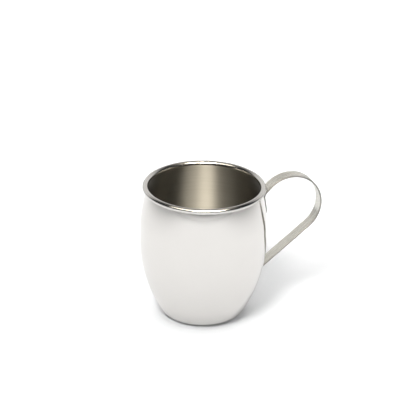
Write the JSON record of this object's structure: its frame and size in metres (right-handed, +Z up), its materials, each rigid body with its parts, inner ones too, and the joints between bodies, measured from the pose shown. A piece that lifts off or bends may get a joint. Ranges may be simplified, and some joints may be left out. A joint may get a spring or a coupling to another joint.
{
  "type": "stainless steel mug",
  "caption": "Barrel-shaped single-wall steel mug with a rolled rim, a shallow recessed base and a bent strap handle spot welded to the wall at both ends.",
  "frame": {"origin": "On the cup's axis in the plane it stands on, 0.5 mm below the middle of the recessed base panel", "axes": "+Z up along the cup's axis towards the mouth, +X from the axis towards the handle, Y across the strap"},
  "size_m": [0.1277, 0.0866, 0.095],
  "materials": {
    "polished_steel": "mirror polished outside, brushed around inside",
    "satin_steel": "satin, brushed along the strap",
    "weld_steel": "dull fused steel"
  },
  "bodies": {
    "root": {"mug_body": "polished_steel", "handle_strap": "satin_steel", "upper_spot_weld_top": "weld_steel", "upper_spot_weld_bottom": "weld_steel", "lower_spot_weld_top": "weld_steel", "lower_spot_weld_bottom": "weld_steel"}
  },
  "joints": []
}
